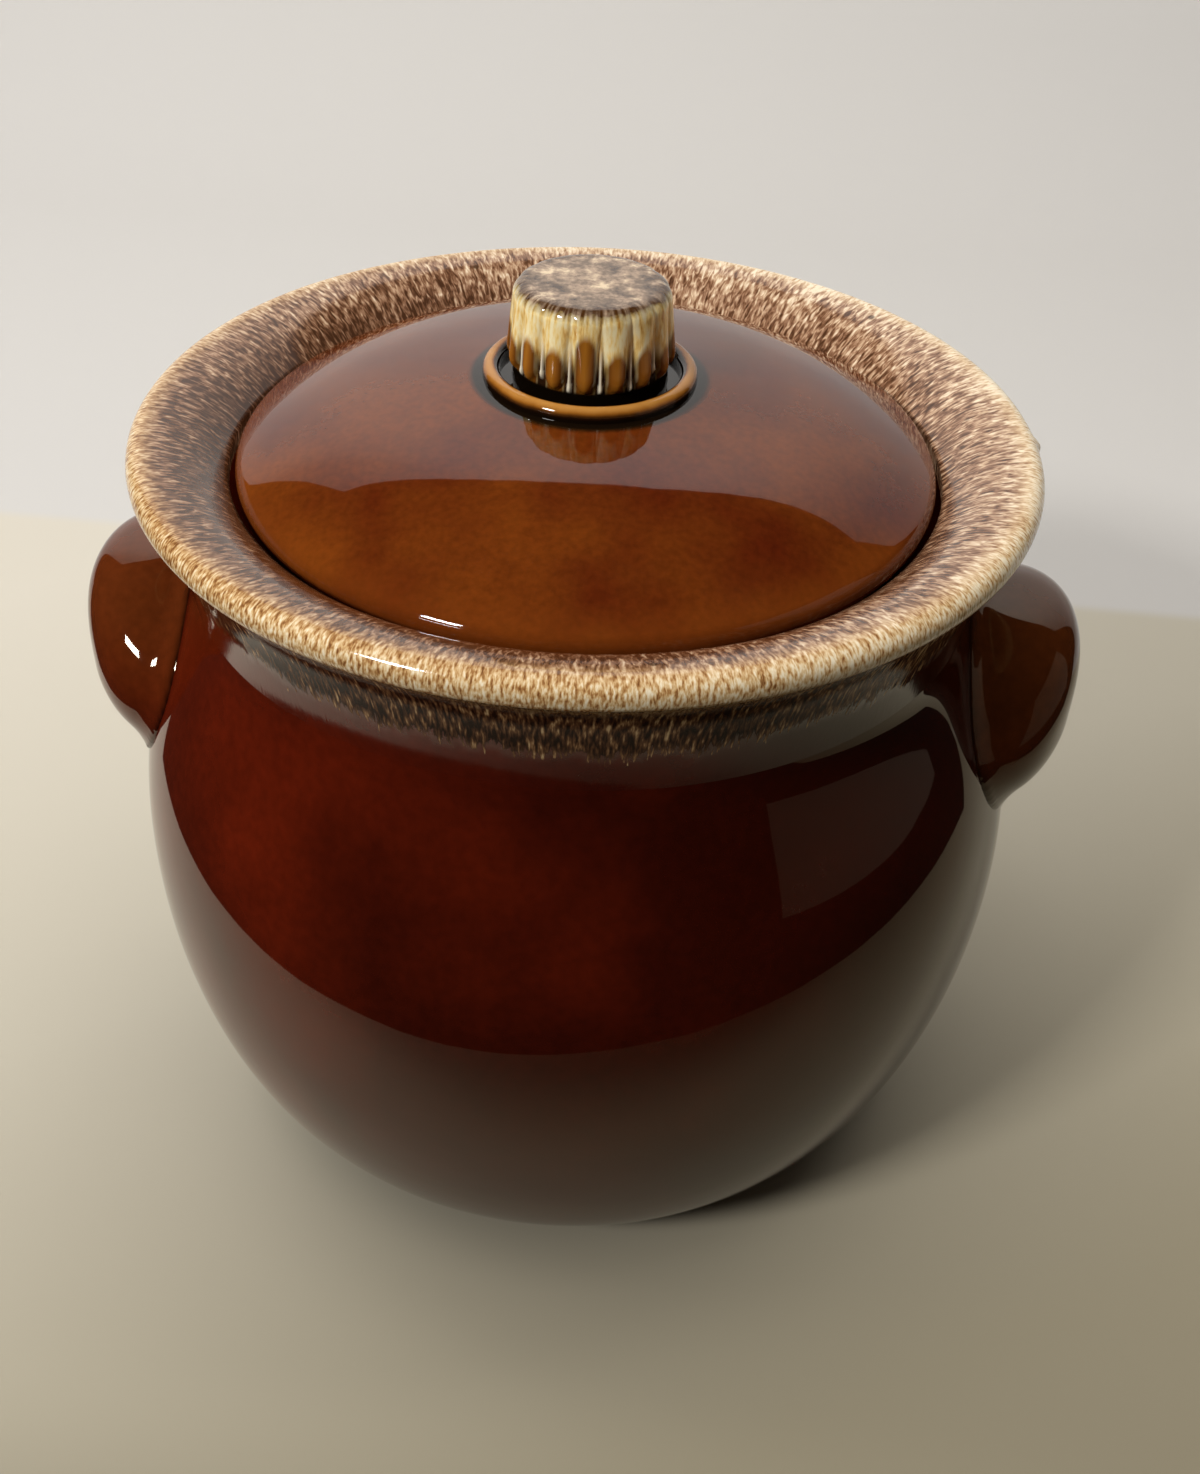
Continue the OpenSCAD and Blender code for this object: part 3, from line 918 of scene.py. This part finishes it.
print("Side of the knob, with streaks", KNOB_STREAK / MM, "mm wide")

# %% [markdown]
# ## Top of the knob
# The cap is mottled cream and grey-brown. Its edge, which the glaze ran away from, is a dark ring that the
# streaks of cream break through. A little noise is added to the distance climbed, so no line is drawn with
# a compass.

# %% Mottled cap and its dark ring
CAP_SPECK, CAP_BLOTCH, BLOTCH_SHARE = 2.2 * MM, 7 * MM, 0.6
EDGE_WANDER = 0.10
CAP_FROM, CAP_FULL = 0.665, 0.73
RING_FROM, RING_END = 0.75, 0.83
WORN_FROM, WORN_FULL, WORN_LEFT = 0.42, 0.66, 0.25
KNOB_RIPPLE = 0.01 * MM
speck = node(tree, "TexNoise", None, {"Vector": place, "Scale": 1 / CAP_SPECK, "Detail": 5,
                                      "Roughness": 0.65})
blotch = node(tree, "TexNoise", None, {"Vector": place, "Scale": 1 / CAP_BLOTCH, "Detail": 2})
mottled = node(tree, "Math", TIMES_PLUS, (blotch, BLOTCH_SHARE, speck))
cap = node(tree, "ValToRGB", None, (mottled,),
           [(0.58, "#4e3e33"), (1.00, "#dcc4a0"), (0.74, "#7d6753"), (0.88, "#ab9076")])
edge_at = node(tree, "Math", TIMES_PLUS, (speck, EDGE_WANDER, climb_here))
capped = node(tree, "MapRange", None, (edge_at, CAP_FROM, CAP_FULL))
ring = node(tree, "MapRange", SOFT, (edge_at, RING_FROM, RING_END, 1, 0))
worn = node(tree, "MapRange", None, (streak, WORN_FROM, WORN_FULL, 1, WORN_LEFT))
ring = node(tree, "Math", TIMES, (ring, worn))
ringed = node(tree, "Mix", COLOURS, {0: ring, 6: cap, 7: hue("#44280f")})
topped = node(tree, "Mix", COLOURS, {0: capped, 6: dressed, 7: ringed})
tree.links.new(topped, shader.inputs["Base Color"])
tree.links.new(ripple(tree, place, KNOB_RIPPLE), shader.inputs["Normal"])
print("Material:", knob_glaze.name)

# %% [markdown]
# ## Bare stoneware
# The foot ring was left without glaze. Fired stoneware is matt, buff to grey, with fine dark iron specks.

# %% Bare buff stoneware
GRIT, GRIT_H = 0.8 * MM, 0.05 * MM
bare_clay, tree, shader, place = new_material("bare_buff_stoneware", roughness=0.75)
grit = node(tree, "TexNoise", None, {"Vector": place, "Scale": 1 / GRIT, "Detail": 4})
clay = node(tree, "ValToRGB", None, (grit,), [(0.30, "#6e5a44"), (0.62, "#d2bd9c"), (0.42, "#bfa683")])
tree.links.new(clay, shader.inputs["Base Color"])
rough = node(tree, "Bump", None, {"Height": grit, "Distance": GRIT_H, "Strength": 0.7})
tree.links.new(rough, shader.inputs["Normal"])
print("Material:", bare_clay.name)

# %% [markdown]
# ## Put the finishes on and hang every piece on its body
# Each piece stands for its imported node, which is hidden, takes the material that its row gives, and rides
# on the jar or on the lid, so that it moves when the lid is lifted.

# %% Dress and ride
DRESSED = (
    (pot, "pot", "jar", "brown_glaze", iron_glaze),
    (rim, "rim_collar", "jar", "drip_glaze", cream_glaze),
    (foot, "foot_ring", "jar", "bare_stoneware", bare_clay),
    (lug, "right_handle", "jar", "brown_glaze", iron_glaze),
    (left_lug, "left_handle", "jar", "brown_glaze", iron_glaze),
    (dome, "lid_dome", "lid", "amber_glaze", amber_glaze),
    (flange, "lid_flange", "lid", "amber_glaze", amber_glaze),
    (bead, "knob_bead", "lid", "amber_glaze", bead_glaze),
    (knob, "knob", "lid", "drip_glaze", knob_glaze),
)
for piece, packed_node, body, finish, material in DRESSED:
    piece.data.materials.clear()
    piece.data.materials.append(material)
    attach(piece, body)
    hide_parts(packed_node)
print("Dressed pieces:", len(DRESSED))

# %% [markdown]
# ## Paint of the stage
# A pale table top ends in front of the jar, and a pale wall stands behind it. Glaze is a mirror, so the
# stage is half of its look: the table fills the lower belly with light up to a crisp line, the dark room in
# front keeps the upper belly deep red, and the wall lies across the back of the lid. The table is warm, and
# light and shade are painted on it: lighter towards the left and back, darker towards the right, with a
# painted shadow across the front and a painted contact shadow round the foot of the jar. A line behind the
# jar, which is paint alone, parts it from the nearly white wall.

# %% Warm table, white wall
PAPER_Y, PAPER_SKEW = 0.219, 0.037
PAPER_SOFT = 0.004
LIGHT_SIDE = (-0.45, 0.8, 0)
LIT_FROM, LIT_FULL = -0.26, 0.24
FRONT_DARK, FRONT_LIGHT = -0.21, -0.12
FOOT_DARK, FOOT_LIGHT = 0.055, 0.090
WALL_DULL, WALL_WHITE = 0.06, 0.30
DIM = 0.40
paint, tree, shader, place = new_material("pale_table_and_wall", roughness=0.7)
# Painted light: the table is lighter towards the left and back and darker towards the right.
lean = node(tree, "VectorMath", DOT, (place, LIGHT_SIDE))
lit = node(tree, "MapRange", None, (lean, LIT_FROM, LIT_FULL))
painted_light_table = node(tree, "ValToRGB", None, (lit,),
             [(0.0, "#6f654f"), (1.0, "#cfc7b7"), (0.28, "#988e76"), (0.60, "#bfb7a4")])
back = node(tree, "VectorMath", DOT, (place, (PAPER_SKEW, 1, 0)))
# Painted shadow across the front of the table, and a painted contact shadow round the foot of the jar.
front = node(tree, "MapRange", SOFT, (back, FRONT_DARK, FRONT_LIGHT, DIM, 1))
painted_contact_shadow = node(tree, "MapRange", SOFT, (from_axis(tree, place), FOOT_DARK, FOOT_LIGHT, DIM, 1))
painted_shadows = node(tree, "Math", TIMES, (front, painted_contact_shadow))
painted_light_table = node(tree, "VectorMath", SCALE, {0: painted_light_table, "Scale": painted_shadows})
height = node(tree, "SeparateXYZ", None, (place,), out="Z")
upright = node(tree, "MapRange", SOFT, (height, WALL_DULL, WALL_WHITE))
pale = node(tree, "Mix", COLOURS, {0: upright, 6: hue("#cbc7c1"), 7: hue("#f1eeeb")})
paper = node(tree, "MapRange", SOFT, (back, PAPER_Y - PAPER_SOFT, PAPER_Y + PAPER_SOFT))
painted = node(tree, "Mix", COLOURS, {0: paper, 6: painted_light_table, 7: pale})
tree.links.new(painted, shader.inputs["Base Color"])
print("Material:", paint.name)

# %% [markdown]
# ## Table and wall
# The front edge of the table is half of a circle. It is drawn straight back, a corner is added at each
# side to widen it, and the whole back edge is swept up into the wall in a wide curve, because a hard corner
# would show in the glaze.

# %% Table with a round front, and the wall behind it
TABLE_R = 0.305
TABLE_X, TABLE_Y = 0.05, 0.08
TABLE_STEPS = 192
WING = 0.75
WALL_Y = 0.85
WALL_TOP = 1.28
SWEEP_R = 0.30
SWEEP_STEPS = 24
BACK_Y = WALL_Y - SWEEP_R
HAIR = 0.02 * MM
bpy.ops.object.select_all(action="DESELECT")
bpy.ops.mesh.primitive_circle_add(vertices=TABLE_STEPS, radius=TABLE_R)
table = bpy.context.object
table.name = "table_and_wall"
pick(table, lambda point: point.co.y > MM)
bpy.ops.mesh.delete(type="VERT")
bpy.ops.mesh.select_all(action="SELECT")
bpy.ops.transform.translate(value=(TABLE_X, TABLE_Y, 0))
bpy.ops.mesh.extrude_edges_move(TRANSFORM_OT_translate={"value": (0, BACK_Y - TABLE_Y, 0)})
bpy.ops.transform.resize(value=(1, 0, 1), center_override=(TABLE_X, BACK_Y, 0))
bpy.ops.object.mode_set(mode="OBJECT")
for turned_to in (-1, 1):
    edge_x = TABLE_X + turned_to * TABLE_R
    pick(table, lambda point: abs(point.co.x - edge_x) < HAIR and point.co.y > BACK_Y - MM)
    bpy.ops.mesh.extrude_vertices_move(TRANSFORM_OT_translate={"value": (turned_to * WING, 0, 0)})
    bpy.ops.object.mode_set(mode="OBJECT")
    pick(table, lambda point: (point.co.x - edge_x) * turned_to > -HAIR)
    bpy.ops.mesh.edge_face_add()
    bpy.ops.object.mode_set(mode="OBJECT")
pick(table, lambda point: point.co.y > BACK_Y - MM)
bpy.ops.mesh.spin(steps=SWEEP_STEPS, angle=-math.pi / 2, center=(0, BACK_Y, SWEEP_R), axis=(1, 0, 0))
bpy.ops.mesh.extrude_edges_move(TRANSFORM_OT_translate={"value": (0, 0, WALL_TOP - SWEEP_R)})
bpy.ops.mesh.select_all(action="SELECT")
bpy.ops.mesh.normals_make_consistent(inside=False)
bpy.ops.object.mode_set(mode="OBJECT")
table.data.materials.append(paint)
smooth(table, angle=60)
low_corner = points_of(table).min(0)
high_corner = points_of(table).max(0)
print("Stage from", low_corner.round(2), "to", high_corner.round(2))

# %% [markdown]
# ## Card
# A grey card stands at the right, out of the picture. The belly mirrors it as a lighter patch, which keeps
# the dark right side from going flat.

# %% A grey card at the right
CARD_AT = (1.0, -0.30, 0.45)
CARD_T = 4 * MM
card_paint, tree, shader, place = new_material("grey_card", roughness=0.8)
shader.inputs["Base Color"].default_value = hue("#8f8478")
bpy.ops.object.select_all(action="DESELECT")
bpy.ops.mesh.primitive_plane_add(size=1)
card = bpy.context.object
card.name = "grey_card"
card.data.transform(Matrix.Translation(CARD_AT) @ Matrix.Rotation(math.pi / 2, 4, "Y"))
bpy.ops.object.mode_set(mode="EDIT")
bpy.ops.mesh.select_all(action="SELECT")
bpy.ops.mesh.extrude_region_move(TRANSFORM_OT_translate={"value": (CARD_T, 0, 0)})
bpy.ops.object.mode_set(mode="OBJECT")
card.data.materials.append(card_paint)
print("Card at", CARD_AT)

# %% [markdown]
# ## Light
# Broad soft lamps at the left and overhead light everything evenly, and a third lights the wall. They are
# kept out of reflections, because white squares on the lid would hide its colour. A smaller lamp at the
# front left gives the crisp highlights that tell the eye how smooth the glaze is. The rest of the room is
# nearly black.

# %% Lamps and room
def lamp(name, place, aim, size, watts, mirrored=True):
    """A soft rectangular lamp aimed at a place."""
    bpy.ops.object.light_add(type="AREA", location=place)
    made = bpy.context.object
    made.name = name
    made.data.shape = "RECTANGLE"
    made.data.size, made.data.size_y = size
    made.data.energy = watts
    made.rotation_euler = (Vector(aim) - Vector(place)).to_track_quat("-Z", "Y").to_euler()
    made.visible_glossy = mirrored
    made.visible_camera = False


lamp("soft_left", (-0.75, 0.10, 1.05), (0, 0, 0.1), (0.9, 0.9), 5, mirrored=False)
lamp("soft_overhead", (0.10, 0.05, 1.35), (0, 0, 0.1), (1.0, 1.0), 4.5, mirrored=False)
lamp("wall_wash", (0, 0.20, 1.55), (0, 0.85, 0.70), (1.8, 0.3), 9, mirrored=False)
lamp("key_front_left", (-0.88, -0.97, 1.09), (0, 0, 0.15), (0.30, 0.18), 18)
room = bpy.data.worlds.new("dark_room")
room.use_nodes = True
room.node_tree.nodes["Background"].inputs["Color"].default_value = hue("#241f1a")
bpy.context.scene.world = room
print("Lamps:", len(bpy.data.lights))

# %% [markdown]
# ## Camera
# The camera stands where the photograph was taken: above the jar, close to it and looking down steeply.
# Its angles and distances were worked out from the outlines of the rim, the lid and the belly.

# %% Camera at the photograph's place
FRAME_H = 1474
FOCAL_PX = 1599
SENSOR = 36
STAND_OFF = 0.2943
STAND_UP = 0.3267
ROUND, DOWN, ASIDE, TILT = (math.radians(a) for a in (3.637, 38.575, 0.992, 2.468))
ahead = Vector((math.sin(ASIDE) * math.cos(DOWN), math.cos(ASIDE) * math.cos(DOWN), -math.sin(DOWN)))
right = Vector((math.cos(ASIDE), -math.sin(ASIDE), 0))
up = right.cross(ahead)
across = math.cos(TILT) * right + math.sin(TILT) * up
upward = -math.sin(TILT) * right + math.cos(TILT) * up
axes = Matrix((across, upward, -ahead)).transposed().to_4x4()
spot = Matrix.Rotation(ROUND, 4, "Z") @ Matrix.Translation((0, -STAND_OFF, STAND_UP)) @ axes
bpy.ops.object.camera_add()
camera = bpy.context.object
camera.matrix_world = spot
camera.data.sensor_width = SENSOR
camera.data.lens = FOCAL_PX / FRAME_H * SENSOR
camera.data.clip_start, camera.data.clip_end = 0.01, 20
bpy.context.scene.camera = camera
bpy.context.scene.view_settings.view_transform = "Standard"
print("Camera at", [round(c, 3) for c in camera.matrix_world.translation])
